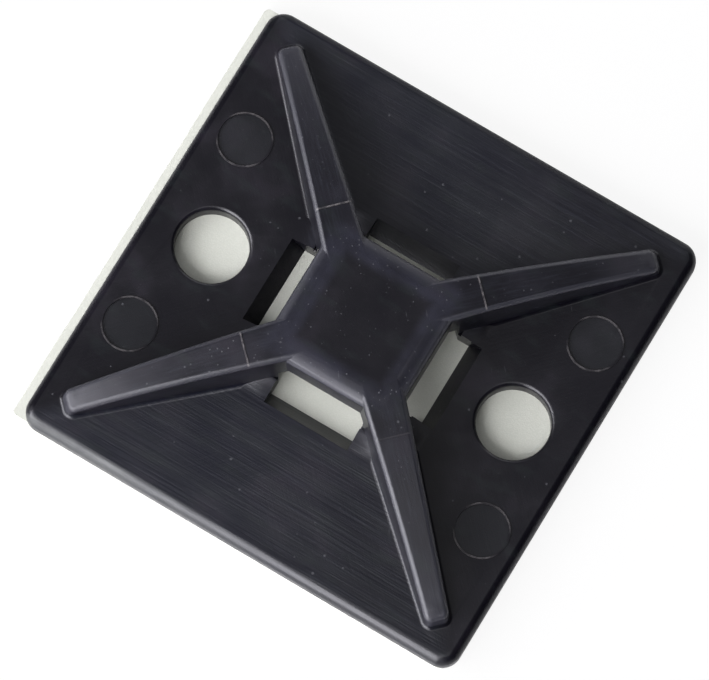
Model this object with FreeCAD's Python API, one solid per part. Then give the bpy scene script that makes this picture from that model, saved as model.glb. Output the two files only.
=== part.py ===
import FreeCAD, Part
import math
import os

# Adhesive-backed four-way mount for cable ties, in millimetres and degrees.
# Z is up. The origin is on the resting face, under the middle of the base plate.
# X runs through the two screw holes. The legs run along the plate's diagonals.

# Release liner and foam tape
liner_thick = 0.1
liner_overhang = 0.03
foam_thick = 0.9
foam_over_x = 0.1
foam_over_y = -0.2
foam_corner_r = 0.4
foam_shift_x = -0.6
foam_shift_y = 0.02

# Base plate
plate_side = 28.5
plate_thick = 1.1
plate_corner_r = 1.15
plate_rim_r = 0.6

# Screw holes, one each side of the middle on the X axis
hole_dia = 4.3
hole_lead_r = 0.25
hole_bias = 0.275

# Ejector pin marks: a thin raised ring round a shallow disc
pin_mark_dia = 3.1
pin_mark_inset_x = 2.6
pin_mark_y = 6.35
pin_disc_depth = 0.04
pin_ring_width = 0.09
pin_ring_height = 0.07

# Raised saddle that the ties pass under
saddle_side = 8.6
saddle_thick = 2.4
saddle_flat_side = 6.2
saddle_crown_r = 2.6
saddle_edge_r = 0.4
saddle_lower_r = 0.3
passage_height = 2.1
passage_width = 5.5

# Tie slots beside the saddle, with a ramp down through the plate
slot_gap = 1.15
ramp_run = 0.85
post_setback = 0.4

# Legs
leg_setback = 2.65
leg_top_width_outer = 1.38
leg_top_width_inner = 2.32
leg_end_height = 0.85
leg_bow = 0.55
leg_root_inset = 0.8
leg_draft = 2.5
leg_end_draft = 16.0
leg_end_corner_r = 0.46
leg_edge_r = 0.34
leg_foot_r = 0.24

# Small gussets between the slot ends and the legs
gusset_height = 0.4

# Fine raised line that the mould leaves across each leg
seam_from_saddle = 0.85
seam_length = 1.8
seam_width = 0.09
seam_height = 0.05

# Levels
foam_z = liner_thick
plate_z = foam_z + foam_thick
plate_mid_z = plate_z + plate_thick / 2
plate_top_z = plate_z + plate_thick
saddle_low_z = plate_z + passage_height
saddle_top_z = saddle_low_z + saddle_thick

# Places
plate_half = plate_side / 2
saddle_half = saddle_side / 2
slot_half = passage_width / 2
ramp_foot_x = saddle_half + slot_gap
ramp_top_x = ramp_foot_x + ramp_run
post_x = saddle_half + post_setback
hole_x = (ramp_top_x + plate_half) / 2 - hole_bias
saddle_corner_rho = saddle_half * math.sqrt(2)
leg_in_rho = saddle_flat_side / 2 * math.sqrt(2) - leg_root_inset
leg_out_rho = plate_half * math.sqrt(2) - leg_setback
seam_rho = saddle_corner_rho + seam_from_saddle

# How far a cutting tool runs past what it cuts, and how near counts as touching
past = 1.0
near_enough = 1e-3


def vec(x, y, z=0.0):
    return FreeCAD.Vector(x, y, z)


def closed_face(points):
    wire = Part.makePolygon(points + [points[0]])
    return Part.Face(wire)


def rounded_block(length, width, corner_r, low_z, height):
    block = Part.makeBox(length, width, height, vec(-length / 2, -width / 2, low_z))
    upright = [e for e in block.Edges if e.BoundBox.ZLength > height - near_enough]
    return block.makeFillet(corner_r, upright)


def around_z(shape, angle):
    turned = shape.copy()
    turned.rotate(vec(0, 0), vec(0, 0, 1), angle)
    return turned


def four_ways(shape, first_angle=0):
    return [around_z(shape, first_angle + 90 * turn) for turn in range(4)]


def pad_block(overhang, low_z, height):
    length = plate_side + foam_over_x + 2 * overhang
    width = plate_side + foam_over_y + 2 * overhang
    block = rounded_block(length, width, foam_corner_r + overhang, low_z, height)
    block.translate(vec(foam_shift_x, foam_shift_y))
    return block


def make_plate():
    plate = rounded_block(plate_side, plate_side, plate_corner_r, plate_z, plate_thick)
    top_rim = [e for e in plate.Edges if e.BoundBox.ZMin > plate_top_z - near_enough]
    return plate.makeFillet(plate_rim_r, top_rim)


def hole_tool():
    """Straight hole with a rounded lead-in at the plate's top."""
    hole_r = hole_dia / 2
    lead_z = plate_top_z - hole_lead_r
    wide_r = hole_r + hole_lead_r
    bend = vec(
        wide_r - hole_lead_r * math.cos(math.pi / 4),
        0,
        lead_z + hole_lead_r * math.sin(math.pi / 4),
    )
    edges = [
        Part.LineSegment(vec(0, 0, plate_z - past), vec(hole_r, 0, plate_z - past)).toShape(),
        Part.LineSegment(vec(hole_r, 0, plate_z - past), vec(hole_r, 0, lead_z)).toShape(),
        Part.Arc(vec(hole_r, 0, lead_z), bend, vec(wide_r, 0, plate_top_z)).toShape(),
        Part.LineSegment(vec(wide_r, 0, plate_top_z), vec(wide_r, 0, plate_top_z + past)).toShape(),
        Part.LineSegment(vec(wide_r, 0, plate_top_z + past), vec(0, 0, plate_top_z + past)).toShape(),
        Part.LineSegment(vec(0, 0, plate_top_z + past), vec(0, 0, plate_z - past)).toShape(),
    ]
    return Part.Face(Part.Wire(edges)).revolve(vec(0, 0), vec(0, 0, 1), 360)


def leg_profile(rise):
    """Side view of a leg in the XZ plane: an arched top that ends in a sloping end face."""
    reach = leg_out_rho
    end_run = leg_end_height * math.tan(math.radians(leg_end_draft))
    end_top = vec(reach - end_run, 0, plate_top_z + leg_end_height + rise)
    start = vec(leg_in_rho, 0, saddle_top_z + rise)
    middle = vec((start.x + end_top.x) / 2, 0, (start.z + end_top.z) / 2 + leg_bow)
    foot_run = (plate_top_z - plate_mid_z) * math.tan(math.radians(leg_end_draft))
    foot = vec(reach + foot_run + rise, 0, plate_mid_z)
    heel = vec(leg_in_rho, 0, plate_mid_z)
    return Part.Wire(
        [
            Part.Arc(start, middle, vec(end_top.x + rise, 0, end_top.z)).toShape(),
            Part.LineSegment(vec(end_top.x + rise, 0, end_top.z), foot).toShape(),
            Part.LineSegment(foot, heel).toShape(),
            Part.LineSegment(heel, start).toShape(),
        ]
    )


def leg_side_cut(rise):
    """Space outside one drafted side of a leg."""
    lean = math.tan(math.radians(leg_draft))
    outer_rho = leg_out_rho
    inner_rho = saddle_corner_rho
    outer_half = leg_top_width_outer / 2 + lean * leg_end_height + rise
    inner_half = leg_top_width_inner / 2 + lean * (saddle_top_z - plate_top_z) + rise
    taper = (inner_half - outer_half) / (outer_rho - inner_rho)

    def half_width(rho, z):
        return outer_half + taper * (outer_rho - rho) - lean * (z - plate_top_z)

    low, high = plate_z - past, saddle_top_z + past
    near, far = leg_in_rho - past, leg_out_rho + past
    places = [(near, low), (far, low), (far, high), (near, high)]
    side = closed_face([vec(rho, half_width(rho, z), z) for rho, z in places])
    return side.extrude(vec(0, saddle_side, 0))


def make_leg(rise=0.0):
    """One leg along +X, raised and widened by a small rise for the seam line."""
    width = saddle_side
    body = Part.Face(leg_profile(rise)).extrude(vec(0, width, 0))
    body.translate(vec(0, -width / 2, 0))
    side = leg_side_cut(rise)
    body = body.cut([side, side.mirror(vec(0, 0), vec(0, 1, 0))])
    end_line = leg_out_rho - leg_end_height
    end_corners = [
        e
        for e in body.Edges
        if e.BoundBox.XMin > end_line
        and e.BoundBox.ZLength > leg_end_height
        and e.BoundBox.YLength < leg_top_width_outer / 2
    ]
    body = body.makeFillet(leg_end_corner_r, end_corners)
    top_edges = []
    for edge in body.Edges:
        box = edge.BoundBox
        on_top = box.ZMin > plate_top_z + leg_end_height / 2
        if on_top and box.XMax > leg_in_rho + near_enough:
            top_edges.append(edge)
    return body.makeFillet(leg_edge_r, top_edges)


def make_seam():
    """Fine raised line over the top of one leg, along +X."""
    corner = vec(seam_rho - seam_width / 2, -seam_length / 2, saddle_low_z)
    slab = Part.makeBox(seam_width, seam_length, saddle_thick + past, corner)
    line = make_leg(seam_height).common(slab)
    return line.cut(make_leg())


def saddle_profile():
    """Section of the saddle in the XZ plane: flat middle, soft crown, round edges."""
    flat = saddle_flat_side / 2
    half = saddle_half
    crown, edge, lower = saddle_crown_r, saddle_edge_r, saddle_lower_r
    turn = math.asin((half - edge - flat) / (crown - edge))
    crown_z = saddle_top_z - crown
    edge_x = flat + (crown - edge) * math.sin(turn)
    edge_z = crown_z + (crown - edge) * math.cos(turn)

    def on_arc(x, z, radius, angle):
        return vec(x + radius * math.sin(angle), 0, z + radius * math.cos(angle))

    quarter = math.pi / 2
    top_end = vec(flat, 0, saddle_top_z)
    crown_mid = on_arc(flat, crown_z, crown, turn / 2)
    crown_end = on_arc(flat, crown_z, crown, turn)
    edge_mid = on_arc(edge_x, edge_z, edge, (turn + quarter) / 2)
    edge_end = vec(half, 0, edge_z)
    low_start = vec(half, 0, saddle_low_z + lower)
    low_mid = on_arc(half - lower, saddle_low_z + lower, lower, 1.5 * quarter)
    low_end = vec(half - lower, 0, saddle_low_z)
    right = [
        Part.Arc(top_end, crown_mid, crown_end).toShape(),
        Part.Arc(crown_end, edge_mid, edge_end).toShape(),
        Part.LineSegment(edge_end, low_start).toShape(),
        Part.Arc(low_start, low_mid, low_end).toShape(),
    ]
    left = [e.mirror(vec(0, 0), vec(1, 0, 0)) for e in right]
    top = Part.LineSegment(vec(-flat, 0, saddle_top_z), top_end).toShape()
    bottom = Part.LineSegment(vec(-low_end.x, 0, saddle_low_z), low_end).toShape()
    return Part.Wire(Part.__sortEdges__(right + left + [top, bottom]))


def make_saddle():
    bar = Part.Face(saddle_profile()).extrude(vec(0, saddle_side, 0))
    bar.translate(vec(0, -saddle_half, 0))
    return bar.common(around_z(bar, 90))


def slot_cut():
    """Tie passage through the middle along X, with a ramp at each end."""
    slope = ramp_run / plate_thick
    low_x = ramp_foot_x - slope * past
    high_x = ramp_top_x + slope * past
    points = [
        vec(-low_x, -slot_half, plate_z - past),
        vec(low_x, -slot_half, plate_z - past),
        vec(high_x, -slot_half, plate_top_z + past),
        vec(high_x, -slot_half, saddle_low_z),
        vec(-high_x, -slot_half, saddle_low_z),
        vec(-high_x, -slot_half, plate_top_z + past),
    ]
    return closed_face(points).extrude(vec(0, passage_width, 0))


def middle_cut():
    """Eight-sided space under the saddle, bounded by the inner faces of the four posts."""
    wide = post_x
    narrow = slot_half
    ring = [
        (wide, -narrow),
        (wide, narrow),
        (narrow, wide),
        (-narrow, wide),
        (-wide, narrow),
        (-wide, -narrow),
        (-narrow, -wide),
        (narrow, -wide),
    ]
    low = plate_z - past
    points = [vec(x, y, low) for x, y in ring]
    return closed_face(points).extrude(vec(0, 0, saddle_low_z - low))


def make_gusset():
    """Wedge between a slot's end wall and the leg beside it, at the +X slot's +Y end."""
    heel_x = post_x + post_setback / 2
    high_z = plate_top_z + gusset_height
    points = [
        vec(heel_x, slot_half, plate_mid_z),
        vec(ramp_top_x, slot_half, plate_mid_z),
        vec(ramp_top_x, slot_half, plate_top_z),
        vec(post_x + post_setback, slot_half, high_z),
        vec(heel_x, slot_half, high_z),
    ]
    depth = ramp_top_x - slot_half - leg_top_width_outer
    return closed_face(points).extrude(vec(0, depth, 0))


def make_pin_ring(x, y):
    outer_r = pin_mark_dia / 2 + pin_ring_width
    height = plate_top_z + pin_ring_height - plate_mid_z
    base = vec(x, y, plate_mid_z)
    return Part.makeCylinder(outer_r, height, base)


def make_pin_disc(x, y):
    base = vec(x, y, plate_top_z - pin_disc_depth)
    return Part.makeCylinder(pin_mark_dia / 2, pin_ring_height + past, base)


def make_body():
    body = make_plate()
    legs = four_ways(make_leg(), 45)
    body = body.multiFuse(legs).removeSplitter()
    inner = plate_half - plate_rim_r - near_enough
    foot_edges = []
    for edge in body.Edges:
        box = edge.BoundBox
        level = box.ZMin > plate_top_z - near_enough and box.ZMax < plate_top_z + near_enough
        within = max(abs(box.XMin), box.XMax, abs(box.YMin), box.YMax) < inner
        if level and within:
            foot_edges.append(edge)
    body = body.makeFillet(leg_foot_r, foot_edges)

    pin_x = plate_half - pin_mark_inset_x
    pin_places = [(sx * pin_x, sy * pin_mark_y) for sx in (-1, 1) for sy in (-1, 1)]
    body = body.multiFuse([make_pin_ring(x, y) for x, y in pin_places])
    body = body.cut([make_pin_disc(x, y) for x, y in pin_places])

    body = body.cut([slot_cut(), around_z(slot_cut(), 90), middle_cut()])
    gussets = four_ways(make_gusset())
    gussets += [g.mirror(vec(0, 0), vec(0, 1, 0)) for g in gussets]
    seams = four_ways(make_seam(), 45)
    body = body.multiFuse(gussets + [make_saddle()] + seams)

    for side in (-1, 1):
        tool = hole_tool()
        tool.translate(vec(side * hole_x, 0))
        body = body.cut(tool)
    return body.removeSplitter()


def export(node, shape):
    solids = shape.Solids
    if len(solids) != 1 or not shape.isValid():
        raise ValueError(f"{node}: {len(solids)} solids, valid {shape.isValid()}")
    solids[0].exportStep(os.path.join("parts", node + ".step"))
    print(node, round(solids[0].Volume, 3), "mm3,", len(solids[0].Faces), "faces")


os.makedirs("parts", exist_ok=True)
export("mount_body", make_body())
export("foam_tape", pad_block(0, foam_z, foam_thick))
export("release_liner", pad_block(liner_overhang, 0, liner_thick))
print("height", round(saddle_top_z, 3), "hole spacing", round(2 * hole_x, 3))
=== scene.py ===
import logging
import math
from dataclasses import dataclass, field
from enum import Enum

import bmesh
import bpy
from mathutils import Matrix, Vector, noise


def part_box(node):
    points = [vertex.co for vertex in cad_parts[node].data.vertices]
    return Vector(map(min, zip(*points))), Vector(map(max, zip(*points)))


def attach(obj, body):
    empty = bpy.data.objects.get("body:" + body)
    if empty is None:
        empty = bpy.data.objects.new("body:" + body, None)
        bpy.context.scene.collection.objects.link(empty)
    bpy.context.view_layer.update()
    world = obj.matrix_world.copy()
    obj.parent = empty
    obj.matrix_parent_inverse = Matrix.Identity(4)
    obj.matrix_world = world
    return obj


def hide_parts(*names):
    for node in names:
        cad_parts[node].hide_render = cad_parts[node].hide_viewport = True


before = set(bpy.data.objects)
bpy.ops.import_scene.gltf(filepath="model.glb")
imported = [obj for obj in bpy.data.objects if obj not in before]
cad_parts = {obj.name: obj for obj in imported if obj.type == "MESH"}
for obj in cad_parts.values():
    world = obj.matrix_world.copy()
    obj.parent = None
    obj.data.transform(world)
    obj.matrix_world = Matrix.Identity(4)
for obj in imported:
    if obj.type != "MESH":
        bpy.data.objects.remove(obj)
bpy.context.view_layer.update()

log = logging.getLogger("tie_mount")

Colour = tuple[float, float, float]
Triple = tuple[float, float, float]
Pair = tuple[float, float]
Shares = tuple[tuple[str, float], ...]
Socket = bpy.types.NodeSocket
Sockets = dict[str, bpy.types.NodeSocket]
Value = Socket | float
Paint = Socket | Colour

MM = 0.001
BODY = "root"
SHADER = "Principled BSDF"
FULL: Pair = (0.0, 1.0)
FALLING: Pair = (1.0, 0.0)
DIAGONAL = math.sqrt(0.5)

WHITE: Colour = (1.0, 1.0, 1.0)
COOL_WHITE: Colour = (0.98, 0.975, 1.0)
BLUE_WHITE: Colour = (0.88, 0.88, 1.0)
SHEEN_BLUE: Colour = (0.0160, 0.0165, 0.0300)
STREAK_BLUE: Colour = (0.0185, 0.0200, 0.0285)
GREEN_GREY: Colour = (0.0095, 0.0125, 0.0140)


class Slot(Enum):
    """The record's material slots."""

    MOULDING = "moulding"
    FOAM = "foam"
    LINER = "liner"


class EdgeForm(Enum):
    """How the cut edge of a sheet runs from its lower face to its upper face."""

    STRAIGHT = 0.0
    BARRELLED = 1.0


def rgba(colour: Paint) -> object:
    """Give a plain colour its alpha.

    Args:
        colour: A plain colour or a socket.

    Returns:
        The colour with its alpha, or the socket as it is.
    """
    if isinstance(colour, tuple):
        return (*colour, 1.0)
    return colour


def shifted(span: Pair, by: float) -> Pair:
    """Move both ends of a span."""
    return (span[0] + by, span[1] + by)


class Tree:
    """Adds and joins the nodes of one shader tree."""

    # The Mix node has sockets for every type of value, and these are its colours.
    mix_first = 6
    mix_second = 7
    mix_result = 2

    def __init__(self, tree: bpy.types.NodeTree) -> None:
        """Keep the tree that the nodes go into.

        Args:
            tree: A material's, a world's or a node group's tree.
        """
        self.tree = tree

    def add(self, kind: str, inputs: dict | None = None, **settings: object) -> bpy.types.Node:
        """Add one node.

        Args:
            kind: The node's type, such as ShaderNodeMath.
            inputs: A value, or a socket to join, for each input by name or number.
            **settings: Properties of the node itself.

        Returns:
            The new node.
        """
        node = self.tree.nodes.new(kind)
        for name, value in settings.items():
            setattr(node, name, value)
        for key, value in (inputs or {}).items():
            self.feed(node.inputs[key], value)
        return node

    def feed(self, socket: Socket, value: object) -> None:
        """Join a socket to another, or set its value.

        Args:
            socket: The input to feed.
            value: An output socket, or a plain value.
        """
        if isinstance(value, bpy.types.NodeSocket):
            self.tree.links.new(value, socket)
        else:
            socket.default_value = value

    def maths(self, operation: str, *values: Value) -> Socket:
        """Add a Math node.

        Args:
            operation: The sum to do, as Blender names it.
            *values: Numbers or sockets, in order.

        Returns:
            The result's socket.
        """
        return self.add("ShaderNodeMath", dict(enumerate(values)), operation=operation).outputs[0]

    def times(self, first: Value, second: Value) -> Socket:
        """Multiply two values."""
        return self.maths("MULTIPLY", first, second)

    def plus_part(self, base: Value, part: Value, share: float) -> Socket:
        """Add a share of a part to a base."""
        return self.maths("MULTIPLY_ADD", part, share, base)

    def plus_shares(self, base: Value, shares: Shares, seen: Sockets) -> Socket:
        """Add a share of each named value to a base.

        Args:
            base: The value to start from.
            shares: The names of the values, each with its share.
            seen: The values by name.

        Returns:
            The sum's socket.
        """
        for name, share in shares:
            base = self.plus_part(base, seen[name], share)
        return base

    def ramp(self, value: Socket, span: Pair, to: Pair = FULL) -> Socket:
        """Map a value smoothly from one range to another.

        Args:
            value: The socket to map.
            span: The values that give the first and the second result.
            to: The two results.

        Returns:
            The result's socket.
        """
        inputs = {"Value": value, "From Min": span[0], "From Max": span[1], "To Min": to[0], "To Max": to[1]}
        return self.add("ShaderNodeMapRange", inputs, interpolation_type="SMOOTHSTEP").outputs["Result"]

    def blend(self, share: Socket, first: Paint, second: Paint) -> Socket:
        """Mix two colours.

        Args:
            share: How much of the second colour shows.
            first: A colour or a socket.
            second: A colour or a socket.

        Returns:
            The mixed colour's socket.
        """
        inputs = {0: share, self.mix_first: rgba(first), self.mix_second: rgba(second)}
        return self.add("ShaderNodeMix", inputs, data_type="RGBA").outputs[self.mix_result]

    def scaled(self, place: Socket, scale: Socket | Triple) -> Socket:
        """Scale coordinates along each axis."""
        return self.add("ShaderNodeVectorMath", {0: place, 1: scale}, operation="MULTIPLY").outputs[0]

    def turned(self, place: Socket, scale: Triple, degrees: float) -> Socket:
        """Scale coordinates and turn them about Z.

        Args:
            place: The coordinates.
            scale: The scale along each axis.
            degrees: The turn.

        Returns:
            The new coordinates' socket.
        """
        inputs = {"Vector": place, "Rotation": (0.0, 0.0, math.radians(degrees)), "Scale": scale}
        return self.add("ShaderNodeMapping", inputs, vector_type="POINT").outputs[0]

    def cloud(self, place: Socket, scale: float, detail: float, rough: float = 0.5) -> Socket:
        """Add a noise texture.

        Args:
            place: The coordinates.
            scale: The noise's scale.
            detail: How many finer layers it has.
            rough: How strong the finer layers are.

        Returns:
            The noise's value socket.
        """
        inputs = {"Vector": place, "Scale": scale, "Detail": detail, "Roughness": rough}
        return self.add("ShaderNodeTexNoise", inputs).outputs[0]

    def cells(self, place: Socket, scale: Value) -> bpy.types.NodeOutputs:
        """Add a pattern of scattered cells and give its outputs."""
        return self.add("ShaderNodeTexVoronoi", {"Vector": place, "Scale": scale}).outputs


class Effect:
    """One shader node group, built once and placed in each material that uses it."""

    name = "effect"
    inputs: dict[str, float] = {}
    outputs: tuple[str, ...] = ()

    def __init__(self) -> None:
        """Make the group's sockets and its nodes."""
        group = bpy.data.node_groups.new(self.name, "ShaderNodeTree")
        group.interface.new_socket("Place", in_out="INPUT", socket_type="NodeSocketVector")
        for name, value in self.inputs.items():
            socket = group.interface.new_socket(name, in_out="INPUT", socket_type="NodeSocketFloat")
            socket.default_value = value
        for name in self.outputs:
            group.interface.new_socket(name, in_out="OUTPUT", socket_type="NodeSocketFloat")
        self.group = group
        tree = Tree(group)
        given = tree.add("NodeGroupInput").outputs
        tree.add("NodeGroupOutput", self.build(tree, given))

    def build(self, tree: Tree, given: bpy.types.NodeOutputs) -> Sockets:
        """Make the group's nodes.

        Args:
            tree: The group's tree.
            given: The group's input sockets.

        Returns:
            The socket for each output.
        """
        raise NotImplementedError

    def place(self, tree: Tree, where: Socket, **values: Value) -> bpy.types.NodeOutputs:
        """Put the group in a material.

        Args:
            tree: The material's tree.
            where: The place on the surface, in millimetres.
            **values: A value for each named input, with _ for a space.

        Returns:
            The group's output sockets.
        """
        inputs = {"Place": where}
        inputs.update({key.replace("_", " "): value for key, value in values.items()})
        return tree.add("ShaderNodeGroup", inputs, node_tree=self.group).outputs


class ToolLines(Effect):
    """Fine parallel lines that a cutter left in the mould, along X."""

    name = "tool_lines"
    inputs = {"Lines": 7.0, "Run": 0.3}
    outputs = ("Height", "Streak")
    broad_scale: Triple = (0.4, 0.22, 1.0)
    streak_span: Pair = (0.35, 0.7)

    def build(self, tree: Tree, given: bpy.types.NodeOutputs) -> Sockets:
        """Make fine lines and broader streaks.

        Args:
            tree: The group's tree.
            given: The group's input sockets.

        Returns:
            Height of the fine lines and strength of the broad streaks.
        """
        scale = tree.add("ShaderNodeCombineXYZ", {"X": given["Run"], "Y": given["Lines"], "Z": 1.0})
        fine_at = tree.scaled(given["Place"], scale.outputs[0])
        fine = tree.cloud(fine_at, scale=1.0, detail=3.0, rough=0.6)
        broad = tree.cloud(tree.scaled(fine_at, self.broad_scale), scale=1.0, detail=2.0)
        return {"Height": fine, "Streak": tree.ramp(broad, self.streak_span)}


class Specks(Effect):
    """Small sparse specks of dust and pits."""

    name = "specks"
    inputs = {"Per mm": 1.6, "Size": 0.09, "Share": 0.3}
    outputs = ("Mask",)
    size_range: Pair = (0.4, 1.3)
    dot_edge: Pair = (0.7, 1.2)

    def build(self, tree: Tree, given: bpy.types.NodeOutputs) -> Sockets:
        """Make a round dot in some of the cells of a scattered pattern.

        Args:
            tree: The group's tree.
            given: The group's input sockets.

        Returns:
            The dots' mask.
        """
        cells = tree.cells(given["Place"], given["Per mm"])
        pick = tree.add("ShaderNodeSeparateColor", {0: cells["Color"]}).outputs
        chosen = tree.maths("LESS_THAN", pick[0], given["Share"])
        size = tree.times(given["Size"], tree.ramp(pick[1], FULL, self.size_range))
        dot = tree.ramp(tree.maths("DIVIDE", cells["Distance"], size), self.dot_edge, FALLING)
        return {"Mask": tree.times(dot, chosen)}


class Scratches(Effect):
    """Sparse hair-thin scratches in one direction."""

    name = "scratches"
    inputs = {"Turn": 0.0, "Share": 0.2}
    outputs = ("Mask",)
    cell_scale: Triple = (0.35, 3.2, 1.0)
    bend = 0.8
    stroke_edge: Pair = (0.03, 0.1)

    def build(self, tree: Tree, given: bpy.types.NodeOutputs) -> Sockets:
        """Make a thin stroke in some of the cells of a long pattern.

        Args:
            tree: The group's tree.
            given: The group's input sockets.

        Returns:
            The strokes' mask.
        """
        spin = {"Vector": given["Place"], "Angle": given["Turn"]}
        turned = tree.add("ShaderNodeVectorRotate", spin, rotation_type="Z_AXIS").outputs[0]
        bent = tree.cloud(turned, scale=0.5, detail=1.0)
        shift = tree.add("ShaderNodeCombineXYZ", {"Y": tree.times(bent, self.bend)}).outputs[0]
        long_at = tree.scaled(turned, self.cell_scale)
        at = tree.add("ShaderNodeVectorMath", {0: long_at, 1: shift}, operation="ADD").outputs[0]
        cells = tree.cells(at, 1.0)
        pick = tree.add("ShaderNodeSeparateColor", {0: cells["Color"]}).outputs
        chosen = tree.maths("LESS_THAN", pick[0], given["Share"])
        stroke = tree.ramp(cells["Distance"], self.stroke_edge, FALLING)
        return {"Mask": tree.times(stroke, chosen)}


class Cells(Effect):
    """Closed cells of a foam, or the fibres of paper when stretched."""

    name = "cells"
    inputs = {"Per mm": 9.0}
    outputs = ("Height", "Patch")
    dome_edge: Pair = (0.1, 0.75)
    patch_span: Pair = (0.3, 0.7)

    def build(self, tree: Tree, given: bpy.types.NodeOutputs) -> Sockets:
        """Make round cells and soft patches.

        Args:
            tree: The group's tree.
            given: The group's input sockets.

        Returns:
            Height of the cells and strength of the patches.
        """
        cells = tree.cells(given["Place"], given["Per mm"])
        patch = tree.cloud(given["Place"], scale=0.8, detail=3.0)
        return {
            "Height": tree.ramp(cells["Distance"], self.dome_edge, FALLING),
            "Patch": tree.ramp(patch, self.patch_span),
        }


@dataclass
class Effects:
    """The shared node groups."""

    lines: ToolLines = field(default_factory=ToolLines)
    specks: Specks = field(default_factory=Specks)
    scratches: Scratches = field(default_factory=Scratches)
    cells: Cells = field(default_factory=Cells)


@dataclass(frozen=True)
class Bump:
    """How deep a bump of full height is, in metres, and how strongly it shows."""

    depth: float
    strength: float = 1.0


@dataclass(frozen=True)
class Finish:
    """What every finish has: a slot, a base roughness and a specular index."""

    slot: Slot
    roughness: float
    ior: float = 1.5

    def begin(self) -> tuple[bpy.types.Material, Tree, Socket]:
        """Make a material with coordinates in millimetres.

        Returns:
            The material, its tree and the place on the surface.
        """
        material = bpy.data.materials.new(self.slot.value)
        material.use_nodes = True
        tree = Tree(material.node_tree)
        place = tree.add("ShaderNodeTexCoord").outputs["Object"]
        in_mm = tree.add("ShaderNodeVectorMath", {0: place, "Scale": 1 / MM}, operation="SCALE")
        return material, tree, in_mm.outputs[0]

    def dress(self, tree: Tree, colour: Socket, rough: Socket, height: Socket, bump: Bump) -> bpy.types.Node:
        """Feed the Principled shader its specular index, colour, roughness and bump.

        Args:
            tree: The material's tree.
            colour: The base colour's socket.
            rough: The roughness's socket.
            height: The bump's height.
            bump: The bump's depth and strength.

        Returns:
            The Principled shader.
        """
        shader = tree.tree.nodes[SHADER]
        bumped = {"Height": height, "Distance": bump.depth, "Strength": bump.strength}
        tree.feed(shader.inputs["IOR"], self.ior)
        tree.feed(shader.inputs["Base Color"], colour)
        tree.feed(shader.inputs["Roughness"], rough)
        tree.feed(shader.inputs["Normal"], tree.add("ShaderNodeBump", bumped).outputs[0])
        return shader


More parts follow.
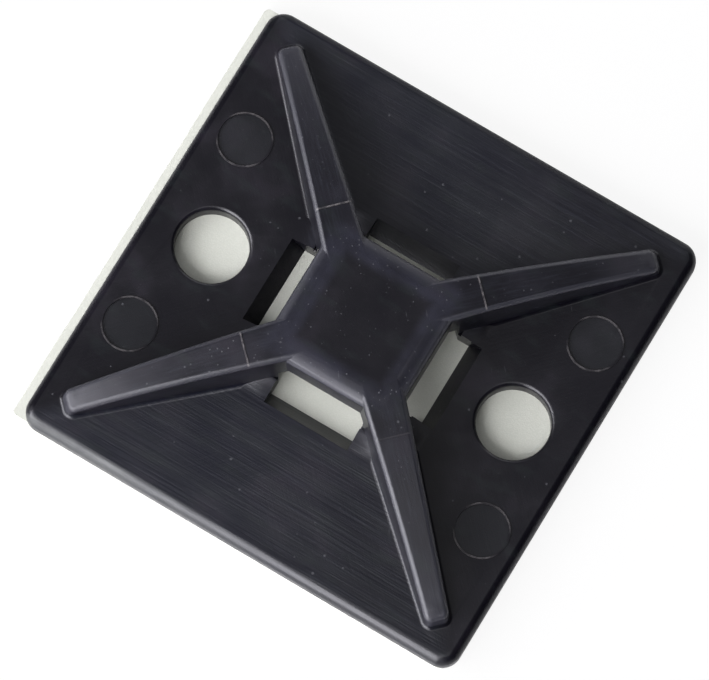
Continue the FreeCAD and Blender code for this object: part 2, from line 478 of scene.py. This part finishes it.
@dataclass(frozen=True)
class Regions:
    """Where the moulding's regions lie and how soft their borders are, in millimetres.

    A border or an edge is measured from the size that it belongs to, and the shares say how
    strongly a region shows at the two ends of its span.
    """

    plate_top: float = 2.1
    raised_border: Pair = (0.1, 0.35)

    lined_border: Pair = (-0.8, 0.8)
    lined_x: Pair = (-4.0, 10.0)
    lined_shares: Pair = (0.9, 0.35)

    pin_x: float = 11.65
    pin_y: float = 6.35
    pin_r: float = 1.55
    disc_border: Pair = (-0.06, 0.0)
    ring_width: float = 0.09
    ring_fade: Pair = (0.3, 0.75)
    ring_open: Pair = (0.55, 1.2)

    seam_at: float = 6.93
    seam_half: float = 0.98
    seam_edge: Pair = (0.03, 0.07)
    seam_end: Pair = (0.0, 0.1)
    faint_leg: Pair = (8.0, 9.5)
    faint_shares: Pair = (1.0, 0.12)

    saddle_plain: float = 3.1
    # The saddle's border, whose colour gets a painted sheen; it also roughens the surface and gathers grit.
    border_inner: Pair = (-0.6, 0.1)
    border_outer: Pair = (0.7, 1.5)
    border_shares: Pair = (1.0, 0.25)
    leg_start: Pair = (0.0, 1.1)

    rim_at: float = 13.65
    # The front rim's painted reflection: where it starts, and how it fades along X.
    reflection_border: Pair = (0.0, 0.25)
    reflection_x: Pair = (-12.0, 4.0)
    reflection_shares: Pair = (1.0, 0.1)
    dull_border: Pair = (0.0, 0.2)

    leaning: Pair = (0.93, 0.975)
    not_upright: Pair = (0.1, 0.35)
    facing_right: Pair = (0.05, 0.25)

    def pins(self, tree: Tree, across: Socket, along: Socket) -> Sockets:
        """Find the pin marks.

        Args:
            tree: The material's tree.
            across: The distance from the middle along X.
            along: The distance from the middle along Y.

        Returns:
            Masks of the discs and of the arcs of ring that show pale as a painted highlight.
        """
        off_x = tree.maths("SUBTRACT", across, self.pin_x)
        off_y = tree.maths("SUBTRACT", along, self.pin_y)
        squares = tree.maths("ADD", tree.maths("POWER", off_x, 2.0), tree.maths("POWER", off_y, 2.0))
        far = tree.maths("SQRT", squares)
        off_ring = tree.maths("ABSOLUTE", tree.maths("SUBTRACT", far, self.pin_r + self.ring_width / 2))
        ring_edge = (self.ring_fade[0] * self.ring_width, self.ring_fade[1] * self.ring_width)
        # Painted highlight: only the arcs of each ring that face ±Y show pale.
        arcs = tree.ramp(tree.maths("ABSOLUTE", off_y), self.ring_open)
        return {
            "disc": tree.ramp(far, shifted(self.disc_border, self.pin_r), FALLING),
            "ring": tree.times(tree.ramp(off_ring, ring_edge, FALLING), arcs),
        }

    def seam(self, tree: Tree, axes: bpy.types.NodeOutputs, leg_run: Socket, leg_side: Socket) -> Socket:
        """Find the raised line across each leg, which is faint on one leg.

        Args:
            tree: The material's tree.
            axes: The place's three coordinates.
            leg_run: The distance from the middle along the nearest leg.
            leg_side: The distance from that leg's middle line.

        Returns:
            The line's mask.
        """
        off_seam = tree.maths("ABSOLUTE", tree.maths("SUBTRACT", leg_run, self.seam_at))
        off_middle = tree.maths("ABSOLUTE", leg_side)
        line = tree.times(
            tree.ramp(off_seam, self.seam_edge, FALLING),
            tree.ramp(off_middle, shifted(self.seam_end, self.seam_half), FALLING),
        )
        lower_right = tree.maths("SUBTRACT", axes["X"], axes["Y"])
        return tree.times(line, tree.ramp(lower_right, self.faint_leg, self.faint_shares))

    def rims(self, tree: Tree, axes: bpy.types.NodeOutputs, across: Socket) -> Sockets:
        """Find the plate's front rim, whose colour carries a painted reflection, and its three dull rims.

        Args:
            tree: The material's tree.
            axes: The place's three coordinates.
            across: The distance from the middle along X.

        Returns:
            Masks of the scuffed rim and of the dull rims.
        """
        front = tree.times(axes["Y"], -1.0)
        rim_reflection = tree.ramp(front, shifted(self.reflection_border, self.rim_at))
        # The painted reflection fades from -X towards +X.
        spread = tree.ramp(axes["X"], self.reflection_x, self.reflection_shares)
        aside = tree.maths("MAXIMUM", across, axes["Y"])
        return {
            "rim": tree.times(rim_reflection, spread),
            "dull": tree.ramp(aside, shifted(self.dull_border, self.rim_at)),
        }

    def slopes(self, tree: Tree, raised: Socket, on_plate: Socket) -> Sockets:
        """Find the surfaces that lean, by the way that they face.

        Args:
            tree: The material's tree.
            raised: The mask of the saddle and the legs.
            on_plate: The mask of the plate.

        Returns:
            Masks of the edges of the raised parts and of the legs' feet that face right.
        """
        normal = tree.add("ShaderNodeTexCoord").outputs["Normal"]
        facing = tree.add("ShaderNodeSeparateXYZ", {0: normal}).outputs
        leaning = tree.ramp(facing["Z"], self.leaning, FALLING)
        edge = tree.times(leaning, tree.ramp(facing["Z"], self.not_upright))
        foot = tree.times(leaning, tree.ramp(facing["X"], self.facing_right))
        return {"edge": tree.times(edge, raised), "foot": tree.times(foot, on_plate)}

    def masks(self, tree: Tree, place: Socket) -> Sockets:
        """Find every region.

        Args:
            tree: The material's tree.
            place: The place on the surface, in millimetres.

        Returns:
            A mask for each region, and a place that runs along the nearest leg.
        """
        axes = tree.add("ShaderNodeSeparateXYZ", {0: place}).outputs
        across = tree.maths("ABSOLUTE", axes["X"])
        along = tree.maths("ABSOLUTE", axes["Y"])
        outer = tree.maths("MAXIMUM", across, along)
        leg_run = tree.times(tree.maths("ADD", across, along), DIAGONAL)
        leg_side = tree.times(tree.maths("SUBTRACT", across, along), DIAGONAL)
        by_leg = tree.add("ShaderNodeCombineXYZ", {"X": leg_run, "Y": leg_side, "Z": axes["Z"]})

        raised = tree.ramp(axes["Z"], shifted(self.raised_border, self.plate_top))
        on_plate = tree.maths("SUBTRACT", 1.0, raised)
        lined = tree.ramp(tree.maths("SUBTRACT", along, across), self.lined_border)
        # The saddle's border: a painted sheen in the colour, plus more roughness and grit.
        inner = tree.ramp(outer, shifted(self.border_inner, self.saddle_plain))
        beyond = tree.ramp(outer, shifted(self.border_outer, self.saddle_plain), self.border_shares)
        slopes = self.slopes(tree, raised, on_plate)
        rims = self.rims(tree, axes, across)
        return {
            **self.pins(tree, across, along),
            "raised": raised,
            "lined": tree.times(lined, on_plate),
            "lined_fade": tree.ramp(axes["X"], self.lined_x, self.lined_shares),
            "saddle_border": tree.times(tree.times(inner, raised), beyond),
            "seam": tree.times(self.seam(tree, axes, leg_run, leg_side), raised),
            "on_leg": tree.ramp(outer, shifted(self.leg_start, self.saddle_plain)),
            "edge": slopes["edge"],
            "rim": tree.times(rims["rim"], on_plate),
            "dull": tree.maths("MAXIMUM", tree.times(rims["dull"], on_plate), slopes["foot"]),
            "by_leg": by_leg.outputs[0],
        }


@dataclass(frozen=True)
class Coat:
    """A colour laid over the ones before it, as strongly as its mask and its share say."""

    mask: str
    colour: Colour
    share: float = 1.0


@dataclass(frozen=True)
class Marks:
    """How strongly specks, scratches and grit show, and where the grit is thickest."""

    speck: float = 0.5
    scratch: float = 0.3
    grit: float = 0.7
    grit_share: float = 0.34
    border_grit: float = 0.4
    plate_grit: float = 0.12
    raised_grit: float = 0.75
    worn_span: Pair = (0.42, 0.6)
    worn_shares: Pair = (0.35, 1.0)

    def mask(self, tree: Tree, place: Socket, seen: Sockets, effects: Effects) -> Socket:
        """Scatter specks, scratches and grit.

        Args:
            tree: The material's tree.
            place: The place on the surface, in millimetres.
            seen: The masks of the regions, and the broad tint that marks where the surface wears.
            effects: The shared node groups.

        Returns:
            The marks' mask.
        """
        specks = effects.specks.place(tree, place, Per_mm=1.5, Size=0.1, Share=0.22)["Mask"]
        scratches = effects.scratches.place(tree, place, Turn=0.9, Share=0.1)["Mask"]
        share = tree.plus_part(self.grit_share, seen["saddle_border"], self.border_grit)
        grit = effects.specks.place(tree, place, Per_mm=3.8, Size=0.15, Share=share)["Mask"]
        spread = tree.maths("MAXIMUM", tree.ramp(seen["tint"], self.worn_span, self.worn_shares), seen["saddle_border"])
        thick = tree.plus_part(self.plate_grit, seen["raised"], self.raised_grit)
        grit = tree.times(tree.times(grit, spread), thick)
        marks = tree.maths("MAXIMUM", tree.times(specks, self.speck), tree.times(scratches, self.scratch))
        return tree.maths("MAXIMUM", marks, tree.times(grit, self.grit))


@dataclass(frozen=True)
class SatinBlack(Finish):
    """Black nylon, faintly blue, with tool lines on the two plain sides of the plate, and painted sheen,
    reflection and highlights on the saddle's border, the raised edges, the front rim and the pin rings.
    """

    regions: Regions = Regions()
    marks: Marks = Marks()
    base: Colour = (0.0030, 0.0026, 0.0052)
    coats: tuple[Coat, ...] = (
        Coat("lined_side", (0.0068, 0.0074, 0.0140)),
        # Painted sheen: the saddle's border is lightened where light catches its crown.
        Coat("border_sheen", SHEEN_BLUE),
        # Painted reflection: the front rim is lightened where the lamps reflect in it.
        Coat("rim", (0.0900, 0.0930, 0.0920), 0.85),
        # Painted sheen: the leaning edges of the saddle and legs are lightened like highlight bands.
        Coat("edge", SHEEN_BLUE, 0.5),
        Coat("mauve", (0.0140, 0.0112, 0.0190), 0.55),
        Coat("cool", GREEN_GREY, 0.5),
        Coat("fine_streak", STREAK_BLUE, 0.6),
        Coat("broad_streak", GREEN_GREY, 0.3),
        Coat("leg_streak", STREAK_BLUE, 0.6),
        Coat("disc", GREEN_GREY, 0.25),
        Coat("marks", (0.085, 0.088, 0.100)),
        # Pale lines: the pin rings' arcs are a painted highlight, and the seams are drawn pale.
        Coat("pale_line", (0.115, 0.107, 0.112)),
    )
    roughened: Shares = (
        ("lined", 0.03),
        ("saddle_border", 0.04),
        ("rim", 0.12),
        ("edge", 0.17),
        ("disc", 0.05),
        ("broad_streak", 0.05),
        ("marks", 0.3),
    )
    relief: Shares = (("leg_lines", 0.3), ("grain", 0.24), ("marks", 0.35))
    bump: Bump = Bump(2.1e-5)
    smooth_relief: float = 0.05
    lined_relief: float = 0.95
    ring_highlight_strength: float = 0.6
    cool_scale: Triple = (1.0, 2.2, 1.0)
    streak_span: Pair = (0.45, 0.75)
    mauve_span: Pair = (0.5, 0.75)
    cool_span: Pair = (0.52, 0.75)
    sheen_span: Pair = (0.35, 0.6)
    sheen_shares: Pair = (0.3, 0.8)
    broken_span: Pair = (0.36, 0.56)
    broken_shares: Pair = (0.3, 1.0)
    uneven_span: Pair = (0.3, 0.7)
    uneven_rough: Pair = (-0.03, 0.05)
    gloss: Pair = (0.5, 0.2)
    edge_gloss: float = 0.25
    sheen: Colour = (0.96, 0.955, 1.0)

    def streaks(self, tree: Tree, place: Socket, seen: Sockets, effects: Effects) -> Sockets:
        """Draw the cutter's lines on the plate's lined sides and along the legs.

        Args:
            tree: The material's tree.
            place: The place on the surface, in millimetres.
            seen: The masks of the regions.
            effects: The shared node groups.

        Returns:
            The lines' heights and the masks of their streaks.
        """
        lines = effects.lines.place(tree, place, Lines=6.0, Run=0.22)
        leg_lines = effects.lines.place(tree, seen["by_leg"], Lines=7.0, Run=0.5)
        leg_streak = tree.times(tree.ramp(leg_lines["Height"], self.streak_span), seen["raised"])
        return {
            "lines": lines["Height"],
            "leg_lines": tree.times(leg_lines["Height"], seen["on_leg"]),
            "fine_streak": tree.times(tree.ramp(lines["Height"], self.streak_span), seen["lined"]),
            "broad_streak": tree.times(lines["Streak"], seen["lined"]),
            "leg_streak": tree.times(leg_streak, seen["on_leg"]),
        }

    def tints(self, tree: Tree, place: Socket, seen: Sockets) -> Sockets:
        """Find the cloudy tints, the painted sheen on the saddle's border and the pale lines.

        Args:
            tree: The material's tree.
            place: The place on the surface, in millimetres.
            seen: The masks of the regions.

        Returns:
            The broad tint and the masks of what it colours, with the painted sheen and the painted highlight
            of the pin rings.
        """
        tint = tree.cloud(place, scale=0.32, detail=3.0)
        cool = tree.cloud(tree.turned(place, self.cool_scale, degrees=20.0), scale=0.5, detail=2.0)
        broken = tree.ramp(tree.cloud(place, scale=2.6, detail=2.0), self.broken_span, self.broken_shares)
        # The pin rings' arcs are a painted highlight; the seams are drawn pale.
        pale = tree.maths("MAXIMUM", tree.times(seen["ring"], self.ring_highlight_strength), seen["seam"])
        return {
            "tint": tint,
            "lined_side": tree.times(seen["lined"], seen["lined_fade"]),
            # Painted sheen on the saddle's border, broken up by the tint.
            "border_sheen": tree.times(seen["saddle_border"], tree.ramp(tint, self.sheen_span, self.sheen_shares)),
            "mauve": tree.ramp(tint, self.mauve_span),
            "cool": tree.ramp(cool, self.cool_span),
            "pale_line": tree.times(pale, broken),
            "grain": tree.cloud(place, scale=14.0, detail=2.0),
        }

    def material(self, effects: Effects) -> bpy.types.Material:
        """Make the material.

        Args:
            effects: The shared node groups.

        Returns:
            The finished material.
        """
        material, tree, place = self.begin()
        seen = self.regions.masks(tree, place)
        seen.update(self.streaks(tree, place, seen, effects))
        seen.update(self.tints(tree, place, seen))
        seen["marks"] = self.marks.mask(tree, place, seen, effects)

        colour = self.base
        for coat in self.coats:
            colour = tree.blend(tree.times(seen[coat.mask], coat.share), colour, coat.colour)
        uneven = tree.ramp(seen["tint"], self.uneven_span, shifted(self.uneven_rough, self.roughness))
        rough = tree.plus_shares(uneven, self.roughened, seen)
        line_relief = tree.plus_part(self.smooth_relief, seen["lined"], self.lined_relief)
        height = tree.plus_shares(tree.times(seen["lines"], line_relief), self.relief, seen)
        gloss = tree.plus_part(tree.ramp(seen["dull"], FULL, self.gloss), seen["edge"], self.edge_gloss)

        shader = self.dress(tree, colour, rough, height, self.bump)
        tree.feed(shader.inputs["Specular IOR Level"], gloss)
        tree.feed(shader.inputs["Specular Tint"], rgba(self.sheen))
        return material


@dataclass(frozen=True)
class WhiteFoam(Finish):
    """Off-white closed-cell foam with a faint green cast."""

    pale: Colour = (0.66, 0.67, 0.61)
    deep: Colour = (0.57, 0.585, 0.525)
    cell_span: Pair = (0.0, 0.6)
    cell_shares: Pair = (0.35, 0.0)
    patch_share: float = 0.3
    patch_gloss: float = 0.1
    bump: Bump = Bump(6e-6, 0.6)

    def material(self, effects: Effects) -> bpy.types.Material:
        """Make the material.

        Args:
            effects: The shared node groups.

        Returns:
            The finished material.
        """
        material, tree, place = self.begin()
        cells = effects.cells.place(tree, place, Per_mm=12.0)
        # Painted shade: the low borders between the cells are darkened.
        hollow_shade = tree.ramp(cells["Height"], self.cell_span, self.cell_shares)
        colour = tree.blend(hollow_shade, self.pale, self.deep)
        colour = tree.blend(tree.times(cells["Patch"], self.patch_share), colour, self.deep)
        rough = tree.ramp(cells["Patch"], FULL, (self.roughness, self.roughness - self.patch_gloss))
        self.dress(tree, colour, rough, cells["Height"], self.bump)
        return material


@dataclass(frozen=True)
class CoatedPaper(Finish):
    """Smooth coated paper with faint fibres."""

    pale: Colour = (0.80, 0.80, 0.77)
    fibre: Colour = (0.70, 0.70, 0.66)
    fibre_scale: Triple = (0.3, 2.0, 1.0)
    fibre_turn: float = 35.0
    fibre_share: float = 0.3
    patch_rough: float = 0.12
    bump: Bump = Bump(3e-6, 0.6)

    def material(self, effects: Effects) -> bpy.types.Material:
        """Make the material.

        Args:
            effects: The shared node groups.

        Returns:
            The finished material.
        """
        material, tree, place = self.begin()
        along_fibres = tree.turned(place, self.fibre_scale, self.fibre_turn)
        fibres = effects.cells.place(tree, along_fibres, Per_mm=2.5)
        colour = tree.blend(tree.times(fibres["Height"], self.fibre_share), self.pale, self.fibre)
        rough = tree.ramp(fibres["Patch"], FULL, (self.roughness, self.roughness + self.patch_rough))
        self.dress(tree, colour, rough, fibres["Height"], self.bump)
        return material


@dataclass
class Moulding:
    """The black moulding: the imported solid, with smooth fillets and its own finish."""

    node: str = "mount_body"
    merge: float = 1e-6
    crease: float = 28.0
    evenness: int = 60
    finish: SatinBlack = SatinBlack(Slot.MOULDING, roughness=0.33, ior=1.62)

    def smooth(self, solid: bpy.types.Object) -> None:
        """Shade the fillets smooth, with a crease where two faces meet at more than an angle.

        Args:
            solid: The moulding's solid.
        """
        mesh = solid.data
        if "custom_normal" in mesh.attributes:
            mesh.attributes.remove(mesh.attributes["custom_normal"])
        mesh.shade_smooth()
        weld = solid.modifiers.new("weld", "WELD")
        weld.merge_threshold = self.merge
        split = solid.modifiers.new("crease", "EDGE_SPLIT")
        split.split_angle = math.radians(self.crease)
        even = solid.modifiers.new("even", "WEIGHTED_NORMAL")
        even.weight = self.evenness

    def build(self, effects: Effects) -> bpy.types.Object:
        """Dress the moulding.

        Args:
            effects: The shared node groups.

        Returns:
            The moulding's object.
        """
        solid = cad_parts[self.node]
        self.smooth(solid)
        solid.data.materials.clear()
        solid.data.materials.append(self.finish.material(effects))
        log.info("%s: %d faces", self.node, len(solid.data.polygons))
        return solid


@dataclass
class CutSheet:
    """A flat sheet die-cut to a rounded rectangle, whose edge wanders a little."""

    node: str
    name: str
    finish: Finish
    corner: float
    form: EdgeForm
    wander: float
    waist: float = 0.0
    step: float = 0.3 * MM
    rings: int = 7
    corner_steps: int = 6
    crease: float = 40.0
    slow_waves: float = 350.0
    slow_level: float = 0.3
    slow_share: float = 0.7
    fast_waves: float = 1900.0
    fast_rise: float = 0.002
    fast_share: float = 0.3

    def outline(self, low: Vector, high: Vector) -> list[tuple[Vector, Vector]]:
        """Walk round the rounded rectangle.

        Args:
            low: The sheet's lowest corner.
            high: The sheet's highest corner.

        Returns:
            Each point with its outward direction.
        """
        middle = (low + high) / 2
        half_x = (high.x - low.x) / 2 - self.corner
        half_y = (high.y - low.y) / 2 - self.corner
        corners = [(1, 1, 0), (-1, 1, 90), (-1, -1, 180), (1, -1, 270)]
        walk = []
        for side_x, side_y, first in corners:
            centre = Vector((middle.x + side_x * half_x, middle.y + side_y * half_y, 0))
            for part in range(self.corner_steps + 1):
                angle = math.radians(first + 90 * part / self.corner_steps)
                out = Vector((math.cos(angle), math.sin(angle), 0))
                walk.append((centre + self.corner * out, out))
        points = []
        for (here, out), (there, out_there) in zip(walk, walk[1:] + walk[:1]):
            count = max(1, round((there - here).length / self.step))
            for part in range(count):
                share = part / count
                points.append((here.lerp(there, share), out.lerp(out_there, share).normalized()))
        return points

    def inset(self, point: Vector, share: float) -> float:
        """Find how far the edge lies inside the sheet's box.

        Args:
            point: A point of the outline.
            share: Its height, from 0 at the lower face to 1 at the upper face.

        Returns:
            The distance in metres.
        """
        slow_at = Vector((point.x, point.y, self.slow_level)) * self.slow_waves
        fast_at = Vector((point.x, point.y, share * self.fast_rise)) * self.fast_waves
        slow = noise.noise(slow_at) * 0.5 + 0.5
        fast = noise.noise(fast_at) * 0.5 + 0.5
        bow = self.form.value * self.waist * (2 * share - 1) ** 2
        return self.wander * (self.slow_share * slow + self.fast_share * fast) + bow

    def mesh(self) -> bpy.types.Mesh:
        """Make the sheet's mesh, ring on ring from the lower face to the upper face.

        Returns:
            The mesh.
        """
        low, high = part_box(self.node)
        outline = self.outline(low, high)
        made = bmesh.new()
        rings = []
        for level in range(self.rings):
            share = level / (self.rings - 1)
            z = low.z + share * (high.z - low.z)
            ring = []
            for point, out in outline:
                place = point - out * self.inset(point, share)
                ring.append(made.verts.new((place.x, place.y, z)))
            rings.append(ring)
        for lower, upper in zip(rings, rings[1:]):
            for a in range(len(lower)):
                b = (a + 1) % len(lower)
                made.faces.new((lower[a], lower[b], upper[b], upper[a]))
        made.faces.new(rings[-1])
        made.faces.new(list(reversed(rings[0])))
        for face in made.faces:
            face.smooth = len(face.verts) == 4
        mesh = bpy.data.meshes.new(self.name)
        made.to_mesh(mesh)
        made.free()
        return mesh

    def build(self, effects: Effects) -> bpy.types.Object:
        """Make the sheet.

        Args:
            effects: The shared node groups.

        Returns:
            The sheet's object.
        """
        mesh = self.mesh()
        piece = bpy.data.objects.new(self.name, mesh)
        bpy.context.scene.collection.objects.link(piece)
        crease = piece.modifiers.new("crease", "EDGE_SPLIT")
        crease.split_angle = math.radians(self.crease)
        mesh.materials.append(self.finish.material(effects))
        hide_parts(self.node)
        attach(piece, BODY)
        log.info("%s: %d faces", self.name, len(mesh.polygons))
        return piece


@dataclass(frozen=True)
class SoftLight:
    """One soft studio light, aimed at the part from an azimuth and an elevation in degrees."""

    name: str
    azimuth: float
    elevation: float
    size: Pair
    glow: float
    colour: Colour = WHITE
    distance: float = 0.55

    def build(self) -> bpy.types.Object:
        """Make the light.

        Returns:
            The light's object.
        """
        data = bpy.data.lights.new(self.name, "AREA")
        data.shape = "RECTANGLE"
        data.size, data.size_y = self.size
        data.color = self.colour
        data.energy = self.glow * math.pi * self.size[0] * self.size[1]
        light = bpy.data.objects.new(self.name, data)
        bpy.context.scene.collection.objects.link(light)
        turn = math.radians(self.azimuth)
        rise = math.radians(self.elevation)
        way = Vector((math.cos(rise) * math.cos(turn), math.cos(rise) * math.sin(turn), math.sin(rise)))
        light.location = way * self.distance
        light.rotation_euler = (-way).to_track_quat("-Z", "Y").to_euler()
        light.visible_camera = False
        return light


@dataclass
class Studio:
    """Pale floor, soft lights, dim surroundings and the camera."""

    floor_side: float = 6.0
    floor_drop: float = 0.00002
    floor_colour: Colour = (0.85, 0.85, 0.85)
    floor_rough: float = 0.9
    floor_gloss: float = 0.1
    floor_glow: float = 0.9
    room: float = 0.13
    room_dark: float = 0.02
    dark_side: Triple = (0.86, -0.22, 0.46)
    dark_span: Pair = (0.35, 0.95)
    camera_place: Triple = (0.038081, -0.077318, 0.350824)
    camera_right: Triple = (0.85833, 0.51276, 0.01867)
    camera_up: Triple = (-0.5019, 0.83149, 0.23815)
    camera_back: Triple = (0.10659, -0.21379, 0.97105)
    camera_reach: Pair = (0.01, 20.0)
    sensor_width: float = 36.0
    lens: float = 320.45
    lights: tuple[SoftLight, ...] = (
        SoftLight("ceiling_panel", 304.0, 73.0, size=(0.32, 0.32), glow=0.85),
        SoftLight("key", 246.0, 60.0, size=(0.22, 0.20), glow=0.8),
        SoftLight("left_softbox", 215.0, 28.5, size=(0.34, 0.29), glow=8.4, colour=COOL_WHITE),
        SoftLight("front_softbox", 258.0, 33.0, size=(0.36, 0.48), glow=7.6, colour=COOL_WHITE),
        SoftLight("low_strip", 263.0, 6.0, size=(0.40, 0.08), glow=1.6),
        SoftLight("back_strip", 98.0, 20.0, size=(0.5, 0.14), glow=2.1),
        SoftLight("back_panel", 110.0, 42.0, size=(0.5, 0.2), glow=0.5, colour=BLUE_WHITE),
    )

    def floor_material(self) -> bpy.types.Material:
        """Make the floor's material, which looks paler to the camera than to the part.

        Returns:
            The material.
        """
        material = bpy.data.materials.new("floor")
        material.use_nodes = True
        tree = Tree(material.node_tree)
        nodes = material.node_tree.nodes
        shader = nodes[SHADER]
        tree.feed(shader.inputs["Base Color"], rgba(self.floor_colour))
        tree.feed(shader.inputs["Roughness"], self.floor_rough)
        tree.feed(shader.inputs["Specular IOR Level"], self.floor_gloss)
        white = tree.add("ShaderNodeEmission", {"Color": rgba(WHITE), "Strength": 1.0}).outputs[0]
        seen = tree.add("ShaderNodeLightPath").outputs["Is Camera Ray"]
        mixed = {0: tree.times(seen, self.floor_glow), 1: shader.outputs[0], 2: white}
        mix = tree.add("ShaderNodeMixShader", mixed)
        tree.feed(nodes["Material Output"].inputs["Surface"], mix.outputs[0])
        return material

    def floor(self) -> None:
        """Make the pale floor."""
        mesh = bpy.data.meshes.new("floor")
        half = self.floor_side / 2
        corners = [(-half, -half, 0), (half, -half, 0), (half, half, 0), (-half, half, 0)]
        mesh.from_pydata(corners, [], [(0, 1, 2, 3)])
        piece = bpy.data.objects.new("floor", mesh)
        piece.location.z = -self.floor_drop
        bpy.context.scene.collection.objects.link(piece)
        mesh.materials.append(self.floor_material())

    def surroundings(self) -> None:
        """Make dim surroundings that are darker on one side."""
        world = bpy.data.worlds.new("studio")
        world.use_nodes = True
        bpy.context.scene.world = world
        tree = Tree(world.node_tree)
        background = world.node_tree.nodes["Background"]
        way = tree.add("ShaderNodeTexCoord").outputs["Generated"]
        near = tree.add("ShaderNodeVectorMath", {0: way, 1: self.dark_side}, operation="DOT_PRODUCT")
        strength = tree.ramp(near.outputs["Value"], self.dark_span, (self.room, self.room_dark))
        tree.feed(background.inputs["Color"], rgba(WHITE))
        tree.feed(background.inputs["Strength"], strength)

    def camera(self) -> None:
        """Make the camera at the photograph's viewing angle."""
        data = bpy.data.cameras.new("camera")
        data.sensor_width = self.sensor_width
        data.lens = self.lens
        data.clip_start, data.clip_end = self.camera_reach
        camera = bpy.data.objects.new("camera", data)
        bpy.context.scene.collection.objects.link(camera)
        turn = Matrix((self.camera_right, self.camera_up, self.camera_back)).transposed()
        camera.matrix_world = Matrix.Translation(self.camera_place) @ turn.to_4x4()
        bpy.context.scene.camera = camera

    def build(self) -> None:
        """Make the whole studio."""
        self.camera()
        self.floor()
        self.surroundings()
        for light in self.lights:
            light.build()
        bpy.context.scene.view_settings.view_transform = "Standard"
        log.info("studio: %d lights", len(self.lights))


def main() -> None:
    """Build each class in order."""
    logging.basicConfig(level=logging.INFO, format="%(message)s")
    effects = Effects()
    Moulding().build(effects)
    foam = CutSheet(
        node="foam_tape",
        name="foam_pad",
        finish=WhiteFoam(Slot.FOAM, roughness=0.85, ior=1.4),
        corner=0.4 * MM,
        form=EdgeForm.BARRELLED,
        wander=0.09 * MM,
        waist=0.05 * MM,
    ).build(effects)
    CutSheet(
        node="release_liner",
        name="liner_sheet",
        finish=CoatedPaper(Slot.LINER, roughness=0.45, ior=1.45),
        corner=0.43 * MM,
        form=EdgeForm.STRAIGHT,
        wander=0.04 * MM,
        rings=3,
    ).build(effects)
    Studio().build()


if __name__ == "__main__":
    main()
